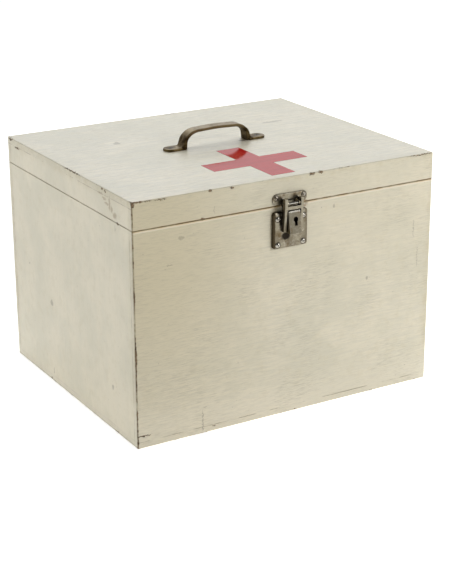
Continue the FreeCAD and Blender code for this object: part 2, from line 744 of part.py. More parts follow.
def wedge(inset):
    """The lock case's outer form, or its inside with a wall's inset."""
    half = CASE_WIDTH / 2 - inset
    low = CASE_TOP - CASE_HEIGHT + inset
    top = CASE_TOP - inset
    outline = [
        (LOCK_PLATE_DEPTH, low),
        (CASE_BOTTOM_OUT - inset, low),
        (CASE_TOP_OUT - inset, top),
        (LOCK_PLATE_DEPTH, top),
        (LOCK_PLATE_DEPTH, low),
    ]
    corners = [V(LATCH_SHIFT - half, FRONT - out, z) for out, z in outline]
    return Part.Face(Part.makePolygon(corners)).extrude(V(half * 2, 0, 0))


def keyhole():
    depth = CASE_BOTTOM_OUT
    centre = V(LATCH_SHIFT + KEYHOLE_SHIFT, FRONT - depth - PAST, KEYHOLE_Z)
    eye = Part.makeCylinder(KEYHOLE_RADIUS, depth / 2, centre, V(0, 1, 0))
    out = (depth / 2 + PAST, depth + PAST)
    across = (KEYHOLE_SHIFT - KEYHOLE_SLOT_WIDTH / 2, KEYHOLE_SHIFT + KEYHOLE_SLOT_WIDTH / 2)
    slot = latch_block(across, out, (KEYHOLE_Z - KEYHOLE_LENGTH, KEYHOLE_Z))
    return eye.fuse(slot)


def lock_case():
    case = wedge(0)
    case = soften(case, CASE_EDGE, lambda c: c.y < FRONT - LOCK_PLATE_DEPTH - CASE_EDGE)
    fit = BOLT_CLEARANCE
    door = latch_block(
        (-CASE_WIDTH, 0),
        (BOLT_BAR_OUT - fit, BOLT_BAR_OUT + BOLT_BAR_THICKNESS + fit),
        (BOLT_BAR_BOTTOM - fit, BOLT_BAR_TOP + fit),
    )
    return cut_all(case, [wedge(CASE_WALL), keyhole(), door])


def key_post():
    start = V(LATCH_SHIFT + KEYHOLE_SHIFT, FRONT - LOCK_PLATE_DEPTH, KEYHOLE_Z)
    return Part.makeCylinder(KEY_POST_RADIUS, KEY_POST_LENGTH, start, V(0, -1, 0))


def lock_bolt():
    """The bolt, drawn back inside the case, with the notch that the key turns in."""
    tip = -CASE_WIDTH / 2 + BOLT_SET_BACK
    out = (BOLT_BAR_OUT, BOLT_BAR_OUT + BOLT_BAR_THICKNESS)
    bar = latch_block((tip, tip + BOLT_BAR_LENGTH), out, (BOLT_BAR_BOTTOM, BOLT_BAR_TOP))
    start = tip + TALON_FROM_TIP
    talon_z = (BOLT_BAR_BOTTOM - PAST, BOLT_BAR_BOTTOM + TALON_DEPTH)
    talon = latch_block((start, start + TALON_WIDTH), (0, out[1] + PAST), talon_z)
    return bar.cut(talon)


def bolt_spring():
    """A bowed leaf spring between the case's roof and the bolt."""
    reach = CASE_WIDTH / 2 - CASE_WALL - SPRING_GAP
    top = CASE_TOP - CASE_WALL - SPRING_GAP
    y = FRONT - BOLT_BAR_OUT
    upper = Part.Arc(V(-reach, y, top), V(0, y, top - SPRING_BOW), V(reach, y, top)).toShape()
    drop = top - SPRING_THICKNESS
    lower = Part.Arc(V(-reach, y, drop), V(0, y, drop - SPRING_BOW), V(reach, y, drop)).toShape()
    left = Part.LineSegment(V(-reach, y, top), V(-reach, y, drop)).toShape()
    right = Part.LineSegment(V(reach, y, top), V(reach, y, drop)).toShape()
    face = Part.Face(Part.Wire(Part.__sortEdges__([upper, lower, left, right])))
    strip = face.extrude(V(0, -BOLT_BAR_THICKNESS, 0))
    strip.translate(V(LATCH_SHIFT, 0, 0))
    return strip


def lock_screws():
    screw = dome_screw(LOCK_SCREW_RADIUS, LOCK_SCREW_HEAD, LOCK_SCREW_HEAD_HEIGHT, LOCK_SCREW_LENGTH)
    return at_places(screw, lock_screw_places(), (0, 1, 0), SLOT_TURN)


def hasp_screws():
    screw = dome_screw(HASP_SCREW_RADIUS, HASP_SCREW_HEAD, HASP_SCREW_HEAD_HEIGHT, HASP_SCREW_LENGTH)
    return at_places(screw, hasp_screw_places(), (0, 1, 0), SLOT_TURN)


def save_base():
    save("front_panel", base_wall(-1))
    save("back_panel", base_wall(1))
    save("left_panel", base_side(-1))
    save("right_panel", base_side(1))
    save("bottom_panel", bottom_panel())
    save_group("corner_nails", base_corner_nails())
    save_group("bottom_nails", bottom_nails())


def save_lid():
    save("lid_top", lid_top())
    save("lid_front_rail", lid_wall(-1))
    save("lid_back_rail", lid_wall(1))
    save("lid_left_rail", lid_side(-1))
    save("lid_right_rail", lid_side(1))
    save_group("lid_corner_nails", lid_corner_nails())
    save_group("lid_top_nails", lid_top_nails())
    save("red_cross", red_cross())


def save_handle():
    save("handle", handle())
    save_group("handle_screws", handle_screws())
    save_group("handle_washers", handle_washers())
    save_group("handle_nuts", handle_nuts())


def save_hinges():
    for name, side in (("left", -1), ("right", 1)):
        save(name + "_hinge_base_leaf", leaf(side, -1))
        save(name + "_hinge_lid_leaf", leaf(side, 1))
        save(name + "_hinge_pin", hinge_pin(side))
    save_group("hinge_base_screws", hinge_screws(-1))
    save_group("hinge_lid_screws", hinge_screws(1))


def save_latch():
    save("hasp_plate", hasp_plate())
    save("hasp_pin", hasp_pin())
    save("hasp", hasp())
    save_group("hasp_plate_screws", hasp_screws())
    save("lock_plate", lock_plate())
    save("lock_case", lock_case())
    save("key_post", key_post())
    save("lock_bolt", lock_bolt())
    save("bolt_spring", bolt_spring())
    save_group("lock_plate_screws", lock_screws())


os.makedirs("parts", exist_ok=True)
save_base()
save_lid()
save_handle()
save_hinges()
save_latch()
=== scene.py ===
import json
from math import cos, radians, sin

import bpy
from mathutils import Matrix, Vector


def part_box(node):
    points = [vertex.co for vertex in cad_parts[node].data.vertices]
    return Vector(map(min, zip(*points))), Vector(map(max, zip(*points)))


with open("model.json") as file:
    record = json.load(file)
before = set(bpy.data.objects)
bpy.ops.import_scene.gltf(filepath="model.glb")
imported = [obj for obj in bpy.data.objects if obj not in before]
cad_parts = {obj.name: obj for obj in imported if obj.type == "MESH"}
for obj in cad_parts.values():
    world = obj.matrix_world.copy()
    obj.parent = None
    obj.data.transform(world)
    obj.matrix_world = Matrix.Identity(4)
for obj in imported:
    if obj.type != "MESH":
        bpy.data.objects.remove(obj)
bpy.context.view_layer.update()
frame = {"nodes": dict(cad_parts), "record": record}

# A cream-painted plywood first aid box with a brass strap handle and a worn nickel hasp lock.
# Materials work in millimetres in the frame's axes; lights, camera and floor are in metres.
# The nodes keep their places in the frame, so every mark stays where it is when a lid or hasp moves.

MM = 1000.0

# The camera, fitted to the box's corners
CAMERA_AZIMUTH = -30.274
CAMERA_ELEVATION = 19.683
CAMERA_ROLL = -0.348
CAMERA_PLACE = (-0.8022, -1.3925, 0.674)
CAMERA_LENS = 98.63
CAMERA_SENSOR = 36.0

# Studio light: a bright backdrop behind the box, a dim room in front and four soft lamps
BACKDROP_LIGHT = (0.84, 0.86, 0.88, 1.0)
ROOM_LIGHT = (0.08, 0.08, 0.08, 1.0)

# Each lamp's place, size, power and colour
LAMPS = {
    "key": ((0.56, -1.18, 0.98), 0.35, 5.1, (1.0, 1.0, 1.02)),
    "right_fill": ((0.62, -0.60, 0.26), 0.45, 0.7, (1.0, 1.0, 1.0)),
    "left_fill": ((-1.15, 0.25, 0.62), 0.70, 1.40, (1.0, 0.985, 0.93)),
    "overhead": ((0.60, 0.85, 1.55), 2.20, 22.0, (1.0, 1.03, 1.06)),
}
FLOOR_REACH = 30.0

# Sizes read from the frame
LID_LOW, LID_HIGH = [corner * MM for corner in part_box("lid_top")]
HALF_WIDTH, HALF_DEPTH, HEIGHT = LID_HIGH
BOARD = HEIGHT - LID_LOW.z
BOTTOM_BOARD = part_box("bottom_panel")[1].z * MM
BASE_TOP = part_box("front_panel")[1].z * MM
LID_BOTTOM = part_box("lid_front_rail")[0].z * MM
SEAM = (BASE_TOP + LID_BOTTOM) / 2
FRONT = -HALF_DEPTH
LEFT = -HALF_WIDTH
HASP_LOW, HASP_HIGH = [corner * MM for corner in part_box("hasp")]
LATCH_X = (HASP_LOW.x + HASP_HIGH.x) / 2
PLATE_LOW, PLATE_HIGH = [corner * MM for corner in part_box("lock_plate")]
PLATE_MIDDLE, PLATE_HALF = (PLATE_LOW + PLATE_HIGH) / 2, (PLATE_HIGH - PLATE_LOW) / 2
CASE_LOW, CASE_HIGH = [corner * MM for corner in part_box("lock_case")]
CASE_HALF = (CASE_HIGH.x - CASE_LOW.x) / 2
CASE_SLOPE = 0.179
KEYHOLE_X = LATCH_X + 0.8
KEYHOLE_Z = CASE_HIGH.z - 8.8
HANDLE_LOW, HANDLE_HIGH = [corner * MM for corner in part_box("handle")]
ARM_OUTER = (HASP_HIGH.x - HASP_LOW.x) / 2
PIN_Z = (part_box("hasp_pin")[0].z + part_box("hasp_pin")[1].z) / 2 * MM
HANDLE_MIDDLE = (HANDLE_LOW.y + HANDLE_HIGH.y) / 2
HANDLE_SCREW_LOW, HANDLE_SCREW_HIGH = [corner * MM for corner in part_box("handle_screws")]
HANDLE_SCREW_TOP = HANDLE_SCREW_HIGH.z
HANDLE_SCREW_X = (HANDLE_SCREW_LOW.x + 3.7, HANDLE_SCREW_HIGH.x - 3.7)
HINGE_SCREW_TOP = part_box("hinge_base_screws")[1].y * MM


def screw_balls(node, head, ball):
    """The balls that a group's round screw heads are cut from: each one's middle and radius."""
    low, high = [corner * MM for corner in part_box(node)]
    heights = sorted({round(low.z + head, 2), round(high.z - head, 2)})
    return [((x, low.y + ball, z), ball) for x in (low.x + head, high.x - head) for z in heights]


SCREW_BALLS = screw_balls("lock_plate_screws", 2.8, 3.36) + screw_balls("hasp_plate_screws", 2.5, 3.39)

# Colours of paint, wood and metal
CREAM = (0.79, 0.722, 0.560, 1)
CREAM_DEEP = (0.71, 0.66, 0.51, 1)
CREAM_GREY = (0.63, 0.590, 0.475, 1)
CREAM_YELLOW = (0.62, 0.545, 0.365, 1)
CREAM_PALE = (0.86, 0.79, 0.64, 1)
STREAK = (0.38, 0.335, 0.235, 1)
SMUDGE = (0.30, 0.25, 0.17, 1)
# The brown of stains, joint lines and worn edges, also used for painted shadow beside the lock plate, by the latch,
# round the handle's legs and along the left face's bottom edge.
STAIN_AND_SHADE = (0.17, 0.112, 0.030, 1)
SEAM_BROWN = (0.24, 0.145, 0.032, 1)
SEAM_GOLD = (0.66, 0.46, 0.22, 1)
SCRATCH = (0.34, 0.24, 0.11, 1)
CHIP_AND_SHADOW_DARK = (0.070, 0.040, 0.018, 1)
CHIP_WOOD = (0.26, 0.175, 0.092, 1)
BARE_LIGHT = (0.52, 0.37, 0.22, 1)
BARE_DARK = (0.34, 0.21, 0.11, 1)
RED = (0.54, 0.017, 0.014, 1)
RED_DEEP = (0.45, 0.012, 0.010, 1)
BRASS = (0.175, 0.128, 0.060, 1)
# The brown is tarnish, and also paints shade on the handle's legs and round its screws.
BRASS_TARNISH_AND_SHADE = (0.060, 0.036, 0.012, 1)
BRASS_DARK = (0.022, 0.014, 0.006, 1)
# The rubbed colour also paints the sheen on the handle's top.
BRASS_RUBBED_AND_SHEEN = (0.17, 0.130, 0.072, 1)
NICKEL = (0.265, 0.235, 0.170, 1)
NICKEL_BROWN = (0.17, 0.125, 0.070, 1)
NICKEL_LIGHT = (0.40, 0.37, 0.30, 1)
NICKEL_BRIGHT = (0.62, 0.59, 0.52, 1)
SCREW_METAL = (0.48, 0.45, 0.39, 1)
# Brown film of dirt, also used for painted shade on the lock plate's left wall.
FILM_AND_SHADE = (0.085, 0.062, 0.034, 1)
RUST = (0.36, 0.19, 0.075, 1)
# Black of grease, used mostly for painted shade: in the latch's corners, the hasp, the screw slots, the keyhole and
# inside the lock case.
GRIME_AND_SHADE = (0.020, 0.015, 0.010, 1)
STEEL = (0.30, 0.285, 0.25, 1)
STEEL_BROWN = (0.16, 0.11, 0.062, 1)

# Chips that show dark wood: the middle and the half sizes along X, Y and Z
CHIPS = [
    ((LEFT, FRONT, HEIGHT - 2.0), (2.8, 2.4, 3.4)),
    ((LEFT + 6, FRONT, HEIGHT - 0.4), (6.5, 1.4, 1.0)),
    ((LEFT, FRONT + 3, HEIGHT - 0.4), (1.2, 3.6, 0.8)),
    ((LEFT, FRONT, HEIGHT - 10.0), (0.9, 0.9, 7.0)),
    ((-160, FRONT, HEIGHT - 1.0), (5.0, 0.8, 0.25)),
    ((-147, FRONT, HEIGHT - 1.6), (8.0, 0.8, 0.45)),
    ((-92.5, FRONT, HEIGHT - 1.2), (2.2, 1.4, 1.4)),
    ((-67.8, FRONT, HEIGHT - 1.8), (2.6, 1.4, 1.1)),
    ((25.4, FRONT, HEIGHT - 1.1), (3.6, 2.2, 1.4)),
    ((36.2, FRONT, HEIGHT - 1.0), (3.0, 2.2, 1.3)),
    ((160, FRONT, HEIGHT - 0.8), (15.0, 1.1, 0.7)),
    ((LEFT, -15, HEIGHT - 0.6), (1.2, 21.0, 0.6)),
    ((LEFT, -86, HEIGHT - 1.4), (1.4, 2.6, 1.6)),
    ((LEFT, -92.6, HEIGHT - 2.6), (1.2, 1.5, 1.6)),
    ((LEFT, 124, HEIGHT - 8.0), (1.2, 7.0, 1.1)),
    ((LEFT, 140, HEIGHT - 1.6), (1.4, 5.0, 1.2)),
    ((-100.6, FRONT, LID_BOTTOM + 0.3), (2.4, 1.2, 1.2)),
    ((LEFT, -118, LID_BOTTOM), (1.2, 2.8, 1.2)),
    ((LEFT, 57, 1.8), (1.4, 1.8, 1.8)),
    ((LEFT, -104, 1.0), (1.4, 3.0, 1.2)),
    ((8.0, FRONT, 0.6), (1.4, 1.4, 0.9)),
    ((104.5, FRONT, 0.6), (2.4, 1.4, 1.0)),
    ((-90.3, FRONT, 5.4), (1.8, 1.0, 0.7)),
    ((-171.5, FRONT, 13.2), (10.0, 1.2, 0.8)),
]

# Faint grey marks
SMUDGES = [
    ((-125.2, FRONT, 212.6), (3.4, 2.0, 2.0)),
    ((52.5, FRONT, 217.1), (1.0, 2.0, 2.0)),
    ((96.1, FRONT, 131.0), (1.2, 2.0, 1.8)),
    ((-137.8, FRONT, 186.8), (4.0, 2.0, 0.6)),
    ((-87.7, FRONT, 235.0), (0.5, 2.0, 4.0)),
    ((-103.2, FRONT, 14.0), (0.6, 2.0, 12.5)),
    ((-100.8, FRONT, 28.5), (2.2, 2.0, 0.7)),
    ((155.0, FRONT, 176.0), (0.5, 2.0, 11.0)),
    ((161.0, FRONT, 143.0), (0.5, 2.0, 12.0)),
    ((LEFT, 48.1, 92.9), (2.0, 3.4, 3.4)),
    ((LEFT, 50.0, 13.8), (2.0, 0.9, 4.0)),
    ((LEFT, -96.1, 48.2), (2.0, 2.2, 2.8)),
    ((LEFT, 103.4, 122.2), (2.0, 1.1, 1.1)),
    ((LEFT, -112.0, 220.6), (2.0, 0.8, 4.0)),
    ((104.0, 52.2, HEIGHT), (14.0, 2.6, 2.0)),
    ((-90.2, 56.2, HEIGHT), (4.0, 4.0, 2.0)),
    ((-88.0, 60.0, HEIGHT), (2.0, 3.0, 2.0)),
    ((21.8, 146.0, HEIGHT), (9.0, 2.6, 2.0)),
]

# Brown scratches on the lid's left rail, near its front corner
SCRATCHES = [
    ((LEFT, -101.5, 243.0), (2.0, 1.8, 8.5)),
    ((LEFT, -95.0, 241.5), (2.0, 5.0, 1.5)),
    ((LEFT, -106.0, 238.5), (2.0, 2.2, 4.0)),
    ((LEFT, -112.0, 233.5), (2.0, 4.5, 3.4)),
    ((LEFT, -90.0, 245.5), (2.0, 5.0, 1.4)),
    ((LEFT, -82.0, 249.0), (2.0, 6.0, 1.1)),
]

# Rust that has run onto the paint at the right of the latch
RUN_RUST = [
    ((LATCH_X + 17.5, FRONT, SEAM + 1.6), (3.6, 3.0, 1.6)),
    ((LATCH_X + 18.0, FRONT, SEAM - 4.2), (3.6, 3.0, 0.9)),
]

# Black under the handle's right leg, painted contact shadow with dirt, and black dirt at the left foot
CONTACT = [
    ((33.0, -2.6, HEIGHT), (7.0, 2.8, 2.0)),
    ((-58.0, -5.0, HEIGHT), (4.0, 2.0, 1.5)),
]

# Brown on the paint, beside the latch at the seam and round the handle's legs: a stain at the right of the latch,
# painted shadow with grime at its left, and painted contact shadow with dirt round the legs
STAINS_AND_SHADOWS = [
    ((LATCH_X - 15.5, FRONT, SEAM - 2.0), (5.5, 3.0, 4.0)),
    ((LATCH_X + 19.0, FRONT, SEAM - 1.0), (4.5, 3.0, 3.0)),
    ((37.0, 1.5, HEIGHT), (4.5, 6.5, 2.0)),
    ((-36.0, 0.0, HEIGHT), (3.0, 4.0, 2.0)),
]

# Black on the latch, below the left arm's tip, beside that arm and behind the pin: painted cast shadows and painted
# shade, with some grease
SHADOWS_AND_GREASE = [
    ((LATCH_X - 6.2, FRONT - 4.0, 196.0), (5.4, 2.0, 4.4)),
    ((LATCH_X - 12.3, FRONT - 4.0, 212.5), (1.8, 2.0, 7.0)),
    ((LATCH_X - 13.0, FRONT - 3.0, 223.0), (3.4, 3.5, 6.5)),
    ((LATCH_X, FRONT - 1.0, 228.0), (9.5, 1.4, 1.2)),
    ((LATCH_X - 7.6, FRONT - 4.5, 206.0), (1.8, 1.2, 9.0)),
]


class Graph:
    """The nodes of one material. Places and sizes are in millimetres."""

    def __init__(self, name):
        self.material = bpy.data.materials.new(name)
        self.material.use_nodes = True
        self.nodes = self.material.node_tree.nodes
        self.links = self.material.node_tree.links
        self.shader = self.nodes["Principled BSDF"]
        spot = self.nodes.new("ShaderNodeTexCoord").outputs["Object"]
        self.place = self.vector("MULTIPLY", spot, (MM, MM, MM))
        self.x, self.y, self.z = self.split(self.place)

    def put(self, socket, value):
        if isinstance(value, bpy.types.NodeSocket):
            self.links.new(value, socket)
        else:
            socket.default_value = value

    def math(self, operation, *values):
        node = self.nodes.new("ShaderNodeMath")
        node.operation = operation
        for socket, value in zip(node.inputs, values):
            self.put(socket, value)
        return node.outputs[0]

    def vector(self, operation, *values):
        node = self.nodes.new("ShaderNodeVectorMath")
        node.operation = operation
        for socket, value in zip(node.inputs, values):
            self.put(socket, value)
        return node.outputs["Value" if operation in ("LENGTH", "DOT_PRODUCT") else "Vector"]

    def split(self, place):
        node = self.nodes.new("ShaderNodeSeparateXYZ")
        self.put(node.inputs[0], place)
        return node.outputs

    def product(self, first, *others):
        for other in others:
            first = self.math("MULTIPLY", first, other)
        return first

    def most(self, first, *others):
        for other in others:
            first = self.math("MAXIMUM", first, other)
        return first

    def least(self, first, *others):
        for other in others:
            first = self.math("MINIMUM", first, other)
        return first

    def fade(self, value, zero, one):
        """0 where the value is at zero, 1 where it is at one, smooth between."""
        node = self.nodes.new("ShaderNodeMapRange")
        node.interpolation_type = "SMOOTHSTEP"
        self.put(node.inputs["Value"], value)
        self.put(node.inputs["From Min"], zero)
        self.put(node.inputs["From Max"], one)
        return node.outputs["Result"]

    def spread(self, value, low, high):
        """A value from 0 to 1 spread between low and high."""
        node = self.nodes.new("ShaderNodeMapRange")
        self.put(node.inputs["Value"], value)
        self.put(node.inputs["To Min"], low)
        self.put(node.inputs["To Max"], high)
        return node.outputs["Result"]

    def mix(self, share, first, second):
        node = self.nodes.new("ShaderNodeMix")
        node.data_type = "RGBA"
        self.put(node.inputs[0], share)
        self.put(node.inputs[6], first)
        self.put(node.inputs[7], second)
        return node.outputs[2]

    def noise(self, size, detail=2.0, rough=0.5, colour=False):
        """Noise with lumps of the given size, one number or one along each axis."""
        size = size if isinstance(size, tuple) else (size, size, size)
        node = self.nodes.new("ShaderNodeTexNoise")
        self.put(node.inputs["Vector"], self.vector("DIVIDE", self.place, size))
        node.inputs["Scale"].default_value = 1.0
        node.inputs["Detail"].default_value = detail
        node.inputs["Roughness"].default_value = rough
        return node.outputs["Color" if colour else 0]

    def ragged(self, lump, reach):
        """The place, pushed about by noise so that edges drawn with it are ragged."""
        push = self.vector("SUBTRACT", self.noise(lump, 3.0, 0.6, colour=True), (0.5, 0.5, 0.5))
        return self.vector("ADD", self.place, self.vector("MULTIPLY", push, (reach, reach, reach)))

    def blots(self, place, marks, outside=1.15, inside=0.8):
        """1 inside any of the marks, which are a middle and half sizes, and 0 outside."""
        shares = []
        for middle, half in marks:
            offset = self.vector("DIVIDE", self.vector("SUBTRACT", place, middle), half)
            shares.append(self.fade(self.vector("LENGTH", offset), outside, inside))
        return self.most(*shares)

    def bump(self, height, depth):
        """Relief where a height of 1 stands out by depth millimetres."""
        node = self.nodes.new("ShaderNodeBump")
        node.inputs["Strength"].default_value = 1.0
        node.inputs["Distance"].default_value = depth / MM
        self.put(node.inputs["Height"], height)
        self.links.new(node.outputs["Normal"], self.shader.inputs["Normal"])

    def worn_edges(self, radius, low, high):
        """1 on sharp outer edges, 0 on flat faces."""
        bevel = self.nodes.new("ShaderNodeBevel")
        bevel.samples = 4
        bevel.inputs["Radius"].default_value = radius / MM
        face = self.nodes.new("ShaderNodeNewGeometry").outputs["Normal"]
        return self.fade(self.vector("DOT_PRODUCT", bevel.outputs["Normal"], face), high, low)

    def finish(self, colour, roughness, metallic=0.0):
        self.put(self.shader.inputs["Base Color"], colour)
        self.put(self.shader.inputs["Roughness"], roughness)
        self.shader.inputs["Metallic"].default_value = metallic
        return self.material


def box_distances(g):
    """How deep a place lies under the box's outside, and how far it is from the nearest outer edge."""
    dx = g.math("SUBTRACT", HALF_WIDTH, g.math("ABSOLUTE", g.x))
    dy = g.math("SUBTRACT", HALF_DEPTH, g.math("ABSOLUTE", g.y))
    dz = g.least(g.math("SUBTRACT", HEIGHT, g.z), g.z)
    skin = g.least(dx, dy, dz)
    edge = g.most(g.least(dx, dy), g.least(g.most(dx, dy), dz))
    return skin, edge


def near_plane(g, value, place, zero, one):
    """1 close to the plane where value is at place, fading out between the two distances."""
    return g.fade(g.math("ABSOLUTE", g.math("SUBTRACT", value, place)), zero, one)


def edge_wear(g, edge):
    """Chips along the outer edges, more of them down the front left corner."""
    where = g.noise(22.0, 2.0, 0.6)
    fine = g.noise(3.0, 4.0, 0.65)
    corner = g.product(g.fade(g.x, LEFT + 5, LEFT + 2), g.fade(g.y, FRONT + 5, FRONT + 2))
    low = g.product(corner, g.fade(g.z, 150, 105))
    under = g.product(g.fade(g.z, 4, 1), g.fade(g.x, LEFT + 3, LEFT + 1), 0.8)
    reach = g.math("MULTIPLY", g.math("SUBTRACT", where, 0.62), 5.0)
    reach = g.math("MULTIPLY_ADD", g.most(low, under, g.product(corner, 0.55)), 1.35, reach)
    reach = g.math("MULTIPLY_ADD", g.math("SUBTRACT", fine, 0.5), 3.2, reach)
    return g.fade(g.math("SUBTRACT", edge, reach), 0.35, -0.2)


def front_left_edge(g):
    """A brown line of worn paint down the front left edge, just round its left side."""
    near_front = g.fade(g.y, FRONT + 2.8, FRONT + 1.3)
    near_left = g.fade(g.x, LEFT + 1.1, LEFT + 0.5)
    return g.product(near_front, near_left, g.spread(g.fade(g.noise(7.0, 4.0, 0.7), 0.35, 0.60), 0.35, 1.0))


def beside_plate(g):
    """Painted shadow, with dirt, on the paint along the left and lower edges of the lock's plate."""
    across = g.math("SUBTRACT", g.math("ABSOLUTE", g.math("SUBTRACT", g.x, PLATE_MIDDLE.x)), PLATE_HALF.x)
    up = g.math("SUBTRACT", g.math("ABSOLUTE", g.math("SUBTRACT", g.z, PLATE_MIDDLE.z)), PLATE_HALF.z)
    near = g.fade(g.most(across, up), 2.6, 0.0)
    low_left = g.most(g.fade(g.x, PLATE_MIDDLE.x, PLATE_LOW.x), g.fade(g.z, PLATE_MIDDLE.z, PLATE_LOW.z))
    return g.product(near, low_left, g.spread(g.noise(6.0, 3.0, 0.6), 0.2, 1.0))


def lid_top_line(g):
    """The line on the lid's sides under the edge of its top board, clearest towards the corners."""
    on_side = g.fade(g.math("ABSOLUTE", g.x), HALF_WIDTH - 1.2, HALF_WIDTH - 0.4)
    line = near_plane(g, g.z, HEIGHT - BOARD, 0.6, 0.1)
    ends = g.fade(g.math("ABSOLUTE", g.math("SUBTRACT", g.y, 20.0)), 20.0, 80.0)
    gaps = g.fade(g.math("MULTIPLY_ADD", ends, 0.16, g.noise(12.0, 4.0, 0.7)), 0.54, 0.72)
    return g.product(on_side, line, gaps)


def joints(g):
    """Lines where one board meets the next, broken up by the paint that bridges them."""
    side = near_plane(g, g.math("ABSOLUTE", g.y), HALF_DEPTH - BOARD, 0.55, 0.1)
    side = g.product(side, g.fade(g.z, HEIGHT - BOARD + 0.3, HEIGHT - BOARD))
    side = g.product(side, g.fade(g.z, BOTTOM_BOARD - 0.3, BOTTOM_BOARD))
    on_side = g.fade(g.math("ABSOLUTE", g.x), HALF_WIDTH - 3, HALF_WIDTH - 1)
    low = g.product(near_plane(g, g.z, BOTTOM_BOARD, 0.55, 0.1), g.math("MULTIPLY_ADD", on_side, -0.6, 1.0))
    gaps = g.fade(g.noise(24.0, 3.0, 0.6), 0.46, 0.62)
    return g.product(g.most(side, low), gaps)


def bare_plywood(g, grain):
    """Unpainted veneer inside the box."""
    figure = g.noise(tuple(size * 3 for size in grain), 4.0, 0.6)
    pores = g.noise(grain, 3.0, 0.7)
    colour = g.mix(g.fade(figure, 0.35, 0.65), BARE_LIGHT, BARE_DARK)
    return g.mix(g.product(g.fade(pores, 0.55, 0.72), 0.5), colour, BARE_DARK)


def painted_board(name, grain, streak_share, brush_share, left_tint_amount=1.0):
    """Brushed cream paint over plywood grain that runs along one axis."""
    g = Graph(name)
    skin, edge = box_distances(g)
    ragged = g.ragged(2.4, 5.5)

    fibres = g.noise(grain, 4.0, 0.7)
    brushed = g.noise(tuple(size * 3.0 for size in grain), 5.0, 0.72)
    mottled = g.noise(9.0, 4.0, 0.7)
    facing = g.fade(g.y, FRONT + 3, FRONT + 0.5)
    leftward = g.fade(g.x, LEFT + 210, LEFT + 20)
    streaky = g.most(g.fade(g.z, HEIGHT - 1.0, HEIGHT - 0.3), g.product(leftward, facing, 0.8))
    colour = g.mix(g.fade(g.noise(60.0, 4.0, 0.6), 0.36, 0.64), CREAM, CREAM_DEEP)
    brush = g.product(g.fade(brushed, 0.40, 0.64), g.spread(streaky, brush_share, brush_share * 1.6))
    colour = g.mix(brush, colour, CREAM_GREY)
    colour = g.mix(g.product(g.fade(mottled, 0.48, 0.70), 0.25), colour, CREAM_YELLOW)

    upward = g.fade(g.z, HEIGHT - 1.0, HEIGHT - 0.3)
    handled = g.product(g.fade(edge, 14.0, 1.0), g.spread(g.fade(mottled, 0.35, 0.65), 0.25, 0.65))
    handled = g.product(handled, g.spread(upward, 1.0, 0.35), g.fade(g.z, 6, 60))
    # The front yellower towards its top.
    yellower_upward = g.product(facing, g.fade(g.z, 40, 240), 0.30)
    # The front yellower towards its left end, and more so higher up.
    left_tint = g.product(leftward, facing, g.spread(g.fade(g.z, 10, 190), 0.3, 0.95 * left_tint_amount))
    corner = g.product(facing, g.fade(g.x, LEFT + 45, LEFT + 3), g.fade(g.z, 120, 180), 0.85)
    colour = g.mix(g.most(handled, yellower_upward, left_tint, corner), colour, CREAM_YELLOW)
    # Painted light: the front paler towards its bottom.
    colour = g.mix(g.product(facing, g.fade(g.z, 50, 10), 0.35), colour, CREAM_PALE)

    worn = g.spread(g.most(g.fade(g.noise(46.0, 2.0, 0.5), 0.42, 0.70), g.product(streaky, 0.7)), 0.35, 1.2)
    pores = g.product(g.fade(fibres, 0.44, 0.70), worn)
    colour = g.mix(g.product(pores, streak_share), colour, STREAK)

    specks = g.product(g.fade(g.noise(2.4, 2.0, 0.5), 0.725, 0.76), g.fade(skin, 2.0, 1.0))
    colour = g.mix(g.product(g.most(g.blots(ragged, SMUDGES), specks), 0.55), colour, SMUDGE)
    colour = g.mix(g.product(beside_plate(g), facing, 0.45), colour, STAIN_AND_SHADE)
    # Painted highlight along the rounded top edge of the base's front just below the seam: a pale line and, closer to
    # the seam, a golden one.
    below_seam = g.product(near_plane(g, g.z, BASE_TOP - 1.6, 1.1, 0.3), facing, 0.6)
    colour = g.mix(below_seam, colour, CREAM_PALE)
    patchy = g.spread(g.fade(g.noise(14.0, 3.0, 0.6), 0.3, 0.6), 0.4, 1.0)
    seam_highlight = g.product(near_plane(g, g.z, BASE_TOP - 0.9, 0.9, 0.3), facing, patchy, 0.55)
    colour = g.mix(seam_highlight, colour, SEAM_GOLD)
    seam = g.product(near_plane(g, g.z, SEAM + 0.2, 1.0, 0.4), g.spread(facing, 0.45, 0.95), patchy)
    colour = g.mix(seam, colour, SEAM_BROWN)
    colour = g.mix(g.product(g.blots(ragged, STAINS_AND_SHADOWS, 1.3, 0.2), 0.6), colour, STAIN_AND_SHADE)
    colour = g.mix(g.product(g.blots(ragged, SCRATCHES, 1.25, 0.5), 0.6), colour, SCRATCH)
    colour = g.mix(g.product(g.blots(ragged, RUN_RUST, 1.3, 0.4), 0.7), colour, RUST)
    # Painted contact shadow with dirt under the handle's right leg, and dirt at its left foot.
    colour = g.mix(g.product(g.blots(ragged, CONTACT, 1.2, 0.4), 0.85), colour, CHIP_AND_SHADOW_DARK)

    lines = joints(g)
    chips = g.most(edge_wear(g, edge), g.blots(ragged, CHIPS))
    bare = g.mix(g.fade(g.noise(2.2, 3.0, 0.6), 0.40, 0.56), CHIP_AND_SHADOW_DARK, CHIP_WOOD)
    colour = g.mix(g.product(front_left_edge(g), 0.7), colour, STAIN_AND_SHADE)
    # Painted contact shadow with a worn edge: a dark line along the left face's bottom edge, mixed in with the joint
    # lines and the line under the lid's top board.
    foot = g.product(g.fade(g.z, 2.2, 1.0), g.fade(g.x, LEFT + 1.2, LEFT + 0.4), 0.4)
    colour = g.mix(g.most(g.product(lines, 0.6), foot, g.product(lid_top_line(g), 0.5)), colour, STAIN_AND_SHADE)
    colour = g.mix(chips, colour, bare)

